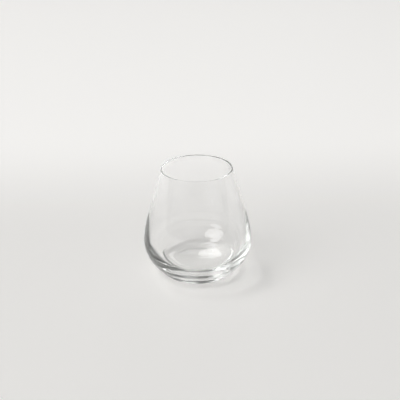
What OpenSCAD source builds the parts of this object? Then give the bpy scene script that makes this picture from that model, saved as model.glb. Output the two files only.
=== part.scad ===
// Stemless wine glass, one piece of clear glass, origin at the middle of the ring that it stands on

/* [Overall] */
// Height from the table to the top of the rim
height = 97.5; // [80:0.5:115]
// Outer diameter at the widest part of the bowl
widest_d = 95; // [80:0.5:112]
// Height of the widest part above the table
widest_z = 30.7; // [26:0.1:36]
// Outer diameter of the mouth
rim_d = 61.4; // [50:0.2:72]

/* [Outline of the bowl] */
// Radius of the round through the widest part
belly_round = 31.1; // [26:0.1:36]
// Turn from straight down to where the belly round gives way to the heel round, in degrees
belly_turn = 47; // [40:0.5:55]
// Radius of the tighter round under the belly
heel_round = 10.4; // [8.5:0.1:12.5]
// Radius of the long curve between the belly and the straight wall
shoulder_round = 123; // [100:1:150]
// Gap between the belly round and the straight wall's outer face carried on down past it
wall_gap = 1.26; // [1:0.02:1.5]

/* [Foot] */
// Distance by which the foot ring's outer edge stands inside the middle of the heel round
foot_inset = 6; // [4.8:0.1:7.2]
// Width of the flat ring that touches the table
ring_w = 2; // [1:0.25:4]
// Radius of the round from the flat ring up to the heel
foot_round = 11.6; // [9.5:0.1:13.5]
// Depth of the shallow dome under the foot
punt_depth = 1.2; // [0.6:0.1:3]

/* [Inside of the bowl] */
// Thickness of the wall at the rim
wall_t = 0.95; // [0.8:0.05:1.4]
// Height of the flat inner floor above the lowest point of the heel round
floor_over_heel = 1.8; // [1.4:0.1:3]
// Amount by which the round through the widest part of the cavity is smaller than the belly round
cavity_round_less = 3.1; // [2.5:0.1:3.8]
// Radius of the round from the cavity wall to the inner floor
corner_round = 16; // [13:0.5:19]
// Turn from straight down to where the cavity round gives way to the corner round, in degrees
cavity_turn = 23.5; // [19:0.5:28]
// Radius of the long curve above the widest part of the cavity
cavity_shoulder_round = 90; // [75:1:110]
// Gap between the cavity round and the straight wall's inner face carried on down past it
inner_wall_gap = 1.73; // [1.4:0.01:2.1]

/* [Hidden] */

// Largest turn of an outline arc between two of its points, in degrees
arc_step = 3;
// Turn between the points of the rounded lip, in degrees
lip_step = 15;
glass_colour = [0.86, 0.89, 0.88, 0.45];

// A turn is in degrees about an arc's centre: 0 is straight down, 90 outwards, 180 up and 270 inwards
function on_circle(c, r, turn) = [c[0] + r * sin(turn), c[1] - r * cos(turn)];

function turn_towards(c, p) = atan2(p[0] - c[0], c[1] - p[1]);

function arc(c, r, from, to, step = arc_step) =
    let (n = max(1, ceil(abs(to - from) / step)))
    [for (i = [0:n]) on_circle(c, r, from + (to - from) * i / n)];

function reversed(points) = [for (i = [len(points) - 1:-1:0]) points[i]];

// The straight wall leans so that its outer face passes the belly round at wall_gap
belly_c = [widest_d / 2 - belly_round, widest_z];
lip_c = [rim_d / 2 - wall_t / 2, height - wall_t / 2];
belly_to_lip = lip_c - belly_c;
wall_lean = atan2(belly_to_lip[1], belly_to_lip[0])
    - acos((belly_round + wall_gap - wall_t / 2) / norm(belly_to_lip));

// Unit vectors square to the straight wall and up along it
wall_out = [cos(wall_lean), sin(wall_lean)];
wall_up = [-sin(wall_lean), cos(wall_lean)];

// Centre of the long curve that touches a round and then the wall's face, which passes the round at gap
function shoulder_centre(round_c, round_r, r, gap) =
    let (spare = r - round_r)
    round_c - (spare - gap) * wall_out + sqrt(gap * (2 * spare - gap)) * wall_up;

// Either face of the wall, from the turn start on its round up to the straight wall
function side_points(round_c, round_r, r, gap, start) =
    let (
        shoulder_c = shoulder_centre(round_c, round_r, r, gap),
        join = turn_towards(shoulder_c, round_c),
        widest = min(90, join)
    )
    concat(
        arc(round_c, round_r, start, widest),
        arc(round_c, round_r, widest, join),
        arc(shoulder_c, r, join, 90 + wall_lean, arc_step / 2)
    );

// Outer one of the two points where circle a crosses circle b, which lies outside and above it
function crossing(a, ra, b, rb) =
    let (
        gap = norm(b - a),
        dir = (b - a) / gap,
        along = (ra * ra - rb * rb + gap * gap) / (2 * gap),
        side = sqrt(ra * ra - along * along)
    )
    a + dir * along + [dir[1], -dir[0]] * side;

heel_c = on_circle(belly_c, belly_round - heel_round, belly_turn);
foot_c = [heel_c[0] - foot_inset, foot_round];
heel_start = crossing(foot_c, foot_round, heel_c, heel_round);

ring_inner_r = foot_c[0] - ring_w;
punt_round = (ring_inner_r * ring_inner_r + punt_depth * punt_depth) / (2 * punt_depth);
punt_c = [0, punt_depth - punt_round];

// The cavity stands on its floor, and the wall's inner face passes its round at inner_wall_gap
floor_z = heel_c[1] - heel_round + floor_over_heel;
cavity_round = belly_round - cavity_round_less;
cavity_z = floor_z + corner_round + (cavity_round - corner_round) * cos(cavity_turn);
inner_face_reach = cavity_round + inner_wall_gap + wall_t / 2;
cavity_c = [
    lip_c[0] + ((lip_c[1] - cavity_z) * wall_out[1] - inner_face_reach) / wall_out[0],
    cavity_z
];
corner_c = on_circle(cavity_c, cavity_round - corner_round, cavity_turn);

function underside() = concat(
    arc(punt_c, punt_round, 180, 180 - asin(ring_inner_r / punt_round), arc_step / 4),
    arc(foot_c, foot_round, 0, turn_towards(foot_c, heel_start))
);

function outer_side() = concat(
    arc(heel_c, heel_round, turn_towards(heel_c, heel_start), belly_turn),
    side_points(belly_c, belly_round, shoulder_round, wall_gap, belly_turn)
);

function lip() = arc(lip_c, wall_t / 2, 90 + wall_lean, 270 + wall_lean, lip_step);

function cavity_side() = concat(
    [[0, floor_z]],
    arc(corner_c, corner_round, 0, cavity_turn),
    side_points(cavity_c, cavity_round, cavity_shoulder_round, inner_wall_gap, cavity_turn)
);

module glass() {
    color(glass_colour)
        rotate_extrude()
            polygon(concat(underside(), outer_side(), lip(), reversed(cavity_side())));
}

glass();
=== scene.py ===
"""Looks of a clear stemless wine glass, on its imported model, in a plain pale studio.

The glass is one surface of revolution. Its outline has the same sizes as the construction, with
finer steps and softened creases, so that light bends through it as it does through polished glass.
"""

import math

import bpy
import numpy as np
from mathutils import Matrix, Vector


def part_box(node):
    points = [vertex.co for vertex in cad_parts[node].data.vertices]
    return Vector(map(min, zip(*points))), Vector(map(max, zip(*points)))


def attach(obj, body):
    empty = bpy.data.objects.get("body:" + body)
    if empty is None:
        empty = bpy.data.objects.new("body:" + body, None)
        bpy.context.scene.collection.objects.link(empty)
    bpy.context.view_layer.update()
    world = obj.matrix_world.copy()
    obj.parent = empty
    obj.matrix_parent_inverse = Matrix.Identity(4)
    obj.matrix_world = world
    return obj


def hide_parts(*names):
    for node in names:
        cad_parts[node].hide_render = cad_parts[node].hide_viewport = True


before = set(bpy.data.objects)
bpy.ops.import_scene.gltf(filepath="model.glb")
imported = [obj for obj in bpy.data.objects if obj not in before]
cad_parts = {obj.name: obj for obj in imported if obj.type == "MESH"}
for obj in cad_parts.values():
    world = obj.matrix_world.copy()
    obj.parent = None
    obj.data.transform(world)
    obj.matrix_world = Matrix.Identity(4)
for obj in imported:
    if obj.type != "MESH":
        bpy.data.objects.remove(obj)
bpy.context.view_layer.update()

MM = 0.001

# The outline's sizes are in millimetres and degrees, as in the construction. The height and the
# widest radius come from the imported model. A turn about an arc's centre is 0 straight down, 90
# outwards, 180 up and 270 inwards.
glass_low, glass_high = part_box("glass")
HEIGHT = (glass_high.z - glass_low.z) / MM
WIDEST_R = min(glass_high.x, glass_high.y, -glass_low.x, -glass_low.y) / MM
WIDEST_Z = 30.7
RIM_R = 30.7
BELLY_ROUND = 31.1
BELLY_TURN = 47
HEEL_ROUND = 10.4
SHOULDER_ROUND = 123
WALL_GAP = 1.26
FOOT_INSET = 6
RING_W = 2
FOOT_ROUND = 11.6
PUNT_DEPTH = 1.2
WALL_T = 0.95
FLOOR_OVER_HEEL = 1.8
CAVITY_ROUND_LESS = 3.1
CORNER_ROUND = 16
CAVITY_TURN = 23.5
CAVITY_SHOULDER_ROUND = 90
INNER_WALL_GAP = 1.73

# Reach of the soft fillets, where the punt meets the ring and where the foot meets the heel, and
# the steps in each of them
RING_SOFT = 0.5
NOTCH_SOFT = 0.8
FILLET_STEPS = 8

# Longest step and largest turn between two points of the outline, and the turn on the lip
LONGEST_STEP = 0.8
LARGEST_TURN = 1.5
LIP_TURN = 12

# Steps round the glass
SEGMENTS = 240

# The ripples are faint, and lie closer together up the glass than round it. Their height is in
# metres. The tint is the colour that thick glass takes on, and its density is per metre.
GLASS_IOR = 1.52
RIPPLES_PER_METRE = 60
RIPPLE_CLOSENESS = (1, 1, 2.5)
RIPPLE_HEIGHT = 0.00001
TINT = (0.90, 0.93, 0.92, 1)
TINT_DENSITY = 8

# The floor reaches this far each way and lies this gap under the ring, in metres. Behind the glass
# it changes from its near tone to a paler far one between two distances, which is painted light: the
# far floor is made paler as if it were better lit. Its glow is the share of its tone that it keeps in
# shade.
FLOOR_REACH = 6
FLOOR_GAP = 0.00015
FLOOR_NEAR = (0.675, 0.67, 0.659, 1)
FLOOR_FAR_PAINTED_LIGHT = (0.81, 0.805, 0.796, 1)
PAINTED_LIGHT_FROM = 0.06
PAINTED_LIGHT_TO = 0.34
FLOOR_ROUGHNESS = 0.7
FLOOR_GLOW = 0.4

# Distance of every lamp from the glass, in metres
LIGHT_DISTANCE = 8
LIGHT_COLOUR = (1, 0.99, 0.975)

# The room passes from its walls' brightness to its ceiling's between two elevations, in degrees
CEILING_FROM = 40
CEILING_FULL = 70
WALLS_BRIGHT = 0.1
CEILING_BRIGHT = 0.05
ROOM_COLOUR = (1, 0.99, 0.97, 1)

# Pale walls show to the camera everywhere. Through the glass they show fully below one elevation, in
# degrees, and not at all above another. A ray's depth is 5 after the four faces of two walls of
# glass, and greater after more of them.
PALE_WALLS = 0.84
PALE_BELOW = 6
PALE_NOT_ABOVE = 10
TWO_WALLS = 5.5

# The camera's angles are in degrees, its place in metres and its lens and sensor in millimetres
CAMERA_PITCH = 24.56
CAMERA_PAN = 0.222
CAMERA_ROLL = -0.732
CAMERA_PLACE = (0, -0.632, 0.356)
CAMERA_LENS = 72
CAMERA_SENSOR = 36

# Light turns many times in the lip and in the base before it leaves them
BOUNCES = 80


def circle_point(centre, radius, turn):
    """Centre plus radius times (sin turn, -cos turn), so turn 0 is straight down and 90 outwards."""
    angle = np.radians(turn)
    return np.stack([centre[0] + radius * np.sin(angle), centre[1] - radius * np.cos(angle)], axis=-1)


def turn_towards(centre, point):
    """Turn at which a point lies from a centre."""
    return math.degrees(math.atan2(point[0] - centre[0], centre[1] - point[1]))


def arc(centre, radius, start, end, largest_turn=LARGEST_TURN):
    """Circle points at even turns from start to end, no further apart than LONGEST_STEP."""
    turn = abs(end - start)
    length = math.radians(turn) * radius
    steps = max(math.ceil(turn / largest_turn), math.ceil(length / LONGEST_STEP), 1)
    return circle_point(centre, radius, np.linspace(start, end, steps + 1))


def straight(start, end):
    """Even points on a line from start to end."""
    steps = max(math.ceil(math.dist(start, end) / LONGEST_STEP), 1)
    return np.linspace(start, end, steps + 1)


def chain(*runs):
    """Runs of points end to end, where each starts at the end of the one before."""
    return np.vstack([runs[0]] + [run[1:] for run in runs[1:]])


def soft_chain(before, after, reach):
    """Two runs whose crease becomes the parabola that touches both at reach from it. For a share s
    from 0 to 1 its point is (1 - s) squared times one end, plus 2 s (1 - s) times the crease, plus
    s squared times the other end."""
    crease = before[-1]
    before = before[np.linalg.norm(before - crease, axis=1) > reach]
    after = after[np.linalg.norm(after - crease, axis=1) > reach]
    share = np.linspace(0, 1, FILLET_STEPS + 1)[1:-1, None]
    fillet = (1 - share) ** 2 * before[-1] + 2 * share * (1 - share) * crease + share**2 * after[0]
    return np.vstack([before, fillet, after])


def crossing(low, low_radius, high, high_radius):
    """The outer one of the two points where a low circle crosses a high one. It lies along the line
    of centres by (low radius squared - high radius squared + distance squared) / (2 distance)."""
    apart = math.dist(low, high)
    way = (high - low) / apart
    along = (low_radius**2 - high_radius**2 + apart**2) / (2 * apart)
    aside = math.sqrt(low_radius**2 - along**2)
    return low + way * along + np.array([way[1], -way[0]]) * aside


def wall_lean(belly, lip):
    """Degrees by which the straight wall leans in, so that it ends at the lip and its outer face,
    carried on down, passes the belly round at WALL_GAP."""
    reach = BELLY_ROUND + WALL_GAP - WALL_T / 2
    return turn_towards(belly, lip) - 90 - math.degrees(math.acos(reach / math.dist(belly, lip)))


def wall_directions(lean):
    """Unit vectors square to the straight wall, outwards, and up along it."""
    return circle_point((0, 0), 1, 90 + lean), circle_point((0, 0), 1, 180 + lean)


def wall_face(centre, radius, shoulder, gap, start, lean, top):
    """A round from the turn start, then a shoulder arc that touches it, then the straight wall up
    to top. The wall's face, carried on down, passes the round at gap."""
    wall_out, wall_up = wall_directions(lean)
    spare = shoulder - radius
    middle = centre - (spare - gap) * wall_out + math.sqrt(gap * (2 * spare - gap)) * wall_up
    join = turn_towards(middle, centre)
    long_arc = arc(middle, shoulder, join, 90 + lean)
    return chain(arc(centre, radius, start, join), long_arc, straight(long_arc[-1], top))


def underside(foot, notch):
    """The punt's arc from the axis, the flat ring, and the foot's round up to the notch. The punt's
    radius is (inner radius of the ring squared + depth squared) / (2 depth)."""
    ring_in = foot[0] - RING_W
    punt_round = (ring_in**2 + PUNT_DEPTH**2) / (2 * PUNT_DEPTH)
    punt_end = 180 - math.degrees(math.asin(ring_in / punt_round))
    punt = arc((0, PUNT_DEPTH - punt_round), punt_round, 180, punt_end)
    ring = straight((ring_in, 0), (foot[0], 0))
    foot_side = arc(foot, FOOT_ROUND, 0, turn_towards(foot, notch))
    return soft_chain(punt, chain(ring, foot_side), RING_SOFT)


def outer_side(belly, heel, notch, lip, lean):
    """The heel's round from the notch, and the belly, the shoulder and the wall up to the lip."""
    top = lip + wall_directions(lean)[0] * WALL_T / 2
    return chain(
        arc(heel, HEEL_ROUND, turn_towards(heel, notch), BELLY_TURN),
        wall_face(belly, BELLY_ROUND, SHOULDER_ROUND, WALL_GAP, BELLY_TURN, lean, top),
    )


def cavity_side(heel, lip, lean):
    """The inner floor from the axis, its corner round, and the inner face of the wall up to the lip.
    The cavity's centre stands where the inner face passes its round at INNER_WALL_GAP."""
    wall_out = wall_directions(lean)[0]
    floor_z = heel[1] - HEEL_ROUND + FLOOR_OVER_HEEL
    cavity_round = BELLY_ROUND - CAVITY_ROUND_LESS
    inner_r = cavity_round - CORNER_ROUND
    cavity_z = floor_z + CORNER_ROUND + inner_r * math.cos(math.radians(CAVITY_TURN))
    reach = cavity_round + INNER_WALL_GAP + WALL_T / 2
    cavity_r = lip[0] + ((lip[1] - cavity_z) * wall_out[1] - reach) / wall_out[0]
    cavity = np.array([cavity_r, cavity_z])
    corner = circle_point(cavity, inner_r, CAVITY_TURN)
    top = lip - wall_out * WALL_T / 2
    return chain(
        straight((0, floor_z), (corner[0], floor_z)),
        arc(corner, CORNER_ROUND, 0, CAVITY_TURN),
        wall_face(cavity, cavity_round, CAVITY_SHOULDER_ROUND, INNER_WALL_GAP, CAVITY_TURN, lean, top),
    )


def glass_outline():
    """Radius and height of the outline's points, from the middle of the underside out along the
    foot, up the outside, over the lip and down the inside to the middle of the floor."""
    belly = np.array([WIDEST_R - BELLY_ROUND, WIDEST_Z])
    heel = circle_point(belly, BELLY_ROUND - HEEL_ROUND, BELLY_TURN)
    foot = np.array([heel[0] - FOOT_INSET, FOOT_ROUND])
    notch = crossing(foot, FOOT_ROUND, heel, HEEL_ROUND)
    lip = np.array([RIM_R - WALL_T / 2, HEIGHT - WALL_T / 2])
    lean = wall_lean(belly, lip)
    outside = outer_side(belly, heel, notch, lip, lean)
    over_lip = arc(lip, WALL_T / 2, 90 + lean, 270 + lean, LIP_TURN)
    inside = cavity_side(heel, lip, lean)
    return chain(soft_chain(underside(foot, notch), outside, NOTCH_SOFT), over_lip, inside[::-1])


def add_object(name, data):
    """An object in the scene that shows data, with its place at the origin."""
    added = bpy.data.objects.new(name, data)
    bpy.context.scene.collection.objects.link(added)
    return added


def spun_mesh(name, outline):
    """A mesh whose point (r, z) of the outline becomes (r cos a, r sin a, z) at SEGMENTS angles a.
    The outline's two ends lie on the axis and close the skin with a fan each."""
    here = np.arange(SEGMENTS)
    there = (here + 1) % SEGMENTS
    angle = here * 2 * math.pi / SEGMENTS
    radius, level = outline[1:-1, :1], outline[1:-1, 1:]
    rings = np.stack([radius * np.cos(angle), radius * np.sin(angle), level + 0 * angle], axis=-1)
    poles = np.array([[0, 0, outline[0, 1]], [0, 0, outline[-1, 1]]])
    points = np.vstack([rings.reshape(-1, 3), poles]) * MM

    lower = np.arange(len(radius) - 1)[:, None] * SEGMENTS
    upper = lower + SEGMENTS
    bands = np.stack([lower + here, lower + there, upper + there, upper + here], axis=-1)
    last = (len(radius) - 1) * SEGMENTS
    low_pole, high_pole = len(points) - 2, len(points) - 1
    low_fan = np.stack([np.full(SEGMENTS, low_pole), there, here], axis=-1)
    high_fan = np.stack([last + here, last + there, np.full(SEGMENTS, high_pole)], axis=-1)
    faces = bands.reshape(-1, 4).tolist() + low_fan.tolist() + high_fan.tolist()

    mesh = bpy.data.meshes.new(name)
    mesh.from_pydata(points.tolist(), [], faces)
    mesh.polygons.foreach_set("use_smooth", [True] * len(mesh.polygons))
    mesh.update()
    return add_object(name, mesh)


def new_material(name):
    """A material with its node tree and its Principled shader."""
    material = bpy.data.materials.new(name)
    material.use_nodes = True
    return material, material.node_tree, material.node_tree.nodes["Principled BSDF"]


def axis_value(tree, coordinates, axis):
    """One axis of the coordinates."""
    place = tree.nodes.new("ShaderNodeTexCoord")
    split = tree.nodes.new("ShaderNodeSeparateXYZ")
    tree.links.new(place.outputs[coordinates], split.inputs["Vector"])
    return split.outputs[axis]


def smooth_ramp(tree, value, start, end, first=0, last=1):
    """A value that is first up to start, last from end on, and changes smoothly between them."""
    ramp = tree.nodes.new("ShaderNodeMapRange")
    ramp.interpolation_type = "SMOOTHSTEP"
    ramp.inputs["From Min"].default_value = start
    ramp.inputs["From Max"].default_value = end
    ramp.inputs["To Min"].default_value = first
    ramp.inputs["To Max"].default_value = last
    tree.links.new(value, ramp.inputs["Value"])
    return ramp.outputs["Result"]


def combine(tree, operation, first, second):
    """The operation's result on a node's output and on a second output or a plain number."""
    node = tree.nodes.new("ShaderNodeMath")
    node.operation = operation
    tree.links.new(first, node.inputs[0])
    if isinstance(second, bpy.types.NodeSocket):
        tree.links.new(second, node.inputs[1])
    else:
        node.inputs[1].default_value = second
    return node.outputs["Value"]


def clear_glass():
    """Polished clear glass with the faint ripples that forming leaves and a trace of green."""
    material, tree, shader = new_material("clear_glass")
    shader.inputs["Base Color"].default_value = (1, 1, 1, 1)
    shader.inputs["Roughness"].default_value = 0
    shader.inputs["IOR"].default_value = GLASS_IOR
    shader.inputs["Transmission Weight"].default_value = 1

    place = tree.nodes.new("ShaderNodeTexCoord")
    closer = tree.nodes.new("ShaderNodeMapping")
    closer.inputs["Scale"].default_value = RIPPLE_CLOSENESS
    ripple = tree.nodes.new("ShaderNodeTexNoise")
    ripple.inputs["Scale"].default_value = RIPPLES_PER_METRE
    ripple.inputs["Detail"].default_value = 1
    bump = tree.nodes.new("ShaderNodeBump")
    bump.inputs["Strength"].default_value = 1
    bump.inputs["Distance"].default_value = RIPPLE_HEIGHT
    tree.links.new(place.outputs["Object"], closer.inputs["Vector"])
    tree.links.new(closer.outputs["Vector"], ripple.inputs["Vector"])
    tree.links.new(ripple.outputs["Fac"], bump.inputs["Height"])
    tree.links.new(bump.outputs["Normal"], shader.inputs["Normal"])

    tint = tree.nodes.new("ShaderNodeVolumeAbsorption")
    tint.inputs["Color"].default_value = TINT
    tint.inputs["Density"].default_value = TINT_DENSITY
    tree.links.new(tint.outputs["Volume"], tree.nodes["Material Output"].inputs["Volume"])
    return material


def matt_floor():
    """A matt pale sheet's look, with painted light that makes it a little paler far behind the glass.
    To the camera, in reflections and through glass it keeps a share of its tone where it lies in
    shade."""
    material, tree, shader = new_material("floor")
    tone = tree.nodes.new("ShaderNodeMix")
    tone.data_type = "RGBA"
    tone.inputs["A"].default_value = FLOOR_NEAR
    tone.inputs["B"].default_value = FLOOR_FAR_PAINTED_LIGHT
    # Painted light: the tone turns paler far behind the glass, as if the far floor were better lit.
    behind = smooth_ramp(tree, axis_value(tree, "Object", "Y"), PAINTED_LIGHT_FROM, PAINTED_LIGHT_TO)
    tree.links.new(behind, tone.inputs["Factor"])
    tree.links.new(tone.outputs["Result"], shader.inputs["Base Color"])
    shader.inputs["Roughness"].default_value = FLOOR_ROUGHNESS

    ray = tree.nodes.new("ShaderNodeLightPath")
    shiny = combine(tree, "MAXIMUM", ray.outputs["Is Camera Ray"], ray.outputs["Is Glossy Ray"])
    seen = combine(tree, "MAXIMUM", shiny, ray.outputs["Is Transmission Ray"])
    glow = combine(tree, "MULTIPLY", seen, FLOOR_GLOW)
    tree.links.new(tone.outputs["Result"], shader.inputs["Emission Color"])
    tree.links.new(glow, shader.inputs["Emission Strength"])
    return material


def pale_floor():
    """A square sheet just under the glass, big enough to fill the view."""
    reach = FLOOR_REACH
    corners = [(-reach, -reach), (reach, -reach), (reach, reach), (-reach, reach)]
    mesh = bpy.data.meshes.new("floor")
    mesh.from_pydata([(x, y, -FLOOR_GAP) for x, y in corners], [], [(0, 1, 2, 3)])
    mesh.update()
    sheet = add_object("floor", mesh)
    sheet.data.materials.append(matt_floor())


def away(azimuth, elevation):
    """Unit vector at azimuth degrees from +X towards +Y and elevation degrees above the table."""
    turn = math.radians(azimuth)
    rise = math.radians(elevation)
    return Vector((math.cos(rise) * math.cos(turn), math.cos(rise) * math.sin(turn), math.sin(rise)))


def soft_light(name, azimuth, elevation, width, height, brightness):
    """An oval lamp that faces the glass from LIGHT_DISTANCE away. Width and height are the angles
    that it spans as seen from the glass. Its power is pi times its area times its brightness, where
    1 is the brightness of white."""
    lamp = bpy.data.lights.new(name, "AREA")
    lamp.shape = "ELLIPSE"
    lamp.size = 2 * LIGHT_DISTANCE * math.tan(math.radians(width) / 2)
    lamp.size_y = 2 * LIGHT_DISTANCE * math.tan(math.radians(height) / 2)
    oval_area = math.pi / 4 * lamp.size * lamp.size_y
    lamp.energy = math.pi * oval_area * brightness
    lamp.color = LIGHT_COLOUR
    light = add_object(name, lamp)
    light.location = away(azimuth, elevation) * LIGHT_DISTANCE
    light.rotation_mode = "QUATERNION"
    light.rotation_quaternion = (-away(azimuth, elevation)).to_track_quat("-Z", "Y")


def lamps():
    """A broad key from the left in front, a low lamp beside it, a small high one from the left
    behind, a weak fill in front and a window behind, which the inner floor reflects."""
    soft_light("key", azimuth=-150, elevation=50, width=41, height=42, brightness=4.2)
    soft_light("left_light", azimuth=-138, elevation=22, width=28, height=14, brightness=3.8)
    soft_light("back_light", azimuth=155, elevation=66, width=12, height=12, brightness=11.5)
    soft_light("front_light", azimuth=-80, elevation=47, width=50, height=44, brightness=0.4)
    soft_light("window", azimuth=80, elevation=25, width=18, height=14, brightness=2.8)


def level_at(elevation):
    """Height of a unit vector that points elevation degrees above the table."""
    return math.sin(math.radians(elevation))


def room():
    """The dim room round the table, dimmest at its ceiling. The camera sees its walls pale, and so
    does the glass where a low view goes through it to them."""
    world = bpy.data.worlds.new("room")
    bpy.context.scene.world = world
    world.use_nodes = True
    tree = world.node_tree
    level = axis_value(tree, "Generated", "Z")
    ceiling = (level_at(CEILING_FROM), level_at(CEILING_FULL))
    dim = smooth_ramp(tree, level, *ceiling, first=WALLS_BRIGHT, last=CEILING_BRIGHT)
    low = smooth_ramp(tree, level, level_at(PALE_BELOW), level_at(PALE_NOT_ABOVE), first=1, last=0)

    ray = tree.nodes.new("ShaderNodeLightPath")
    few_walls = combine(tree, "LESS_THAN", ray.outputs["Ray Depth"], TWO_WALLS)
    passed = combine(tree, "MULTIPLY", ray.outputs["Is Transmission Ray"], few_walls)
    through = combine(tree, "MULTIPLY", passed, low)
    seen = combine(tree, "MAXIMUM", ray.outputs["Is Camera Ray"], through)
    strength = tree.nodes.new("ShaderNodeMix")
    strength.inputs["B"].default_value = PALE_WALLS
    tree.links.new(seen, strength.inputs["Factor"])
    tree.links.new(dim, strength.inputs["A"])
    shader = tree.nodes["Background"]
    tree.links.new(strength.outputs["Result"], shader.inputs["Strength"])
    shader.inputs["Color"].default_value = ROOM_COLOUR


def camera():
    """The photograph's view, from in front and above."""
    pitch = math.radians(CAMERA_PITCH)
    pan = math.radians(CAMERA_PAN)
    roll = math.radians(CAMERA_ROLL)
    level_reach = math.cos(pitch)
    forward = Vector((math.sin(pan) * level_reach, math.cos(pan) * level_reach, -math.sin(pitch)))
    right = forward.cross(Vector((0, 0, 1))).normalized()
    up = right.cross(forward)
    rolled_right = math.cos(roll) * right + math.sin(roll) * up
    rolled_up = math.cos(roll) * up - math.sin(roll) * right
    lens = bpy.data.cameras.new("camera")
    lens.lens = CAMERA_LENS
    lens.sensor_width = CAMERA_SENSOR
    view = add_object("camera", lens)
    view.matrix_world = Matrix((rolled_right, rolled_up, -forward)).transposed().to_4x4()
    view.location = CAMERA_PLACE
    bpy.context.scene.camera = view


glass = spun_mesh("glass_skin", glass_outline())
glass.data.materials.append(clear_glass())
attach(glass, "root")
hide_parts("glass")

pale_floor()
lamps()
room()
camera()

scene = bpy.context.scene
scene.view_settings.view_transform = "Standard"
scene.cycles.max_bounces = BOUNCES
scene.cycles.transmission_bounces = BOUNCES
scene.cycles.glossy_bounces = BOUNCES
scene.cycles.blur_glossy = 0
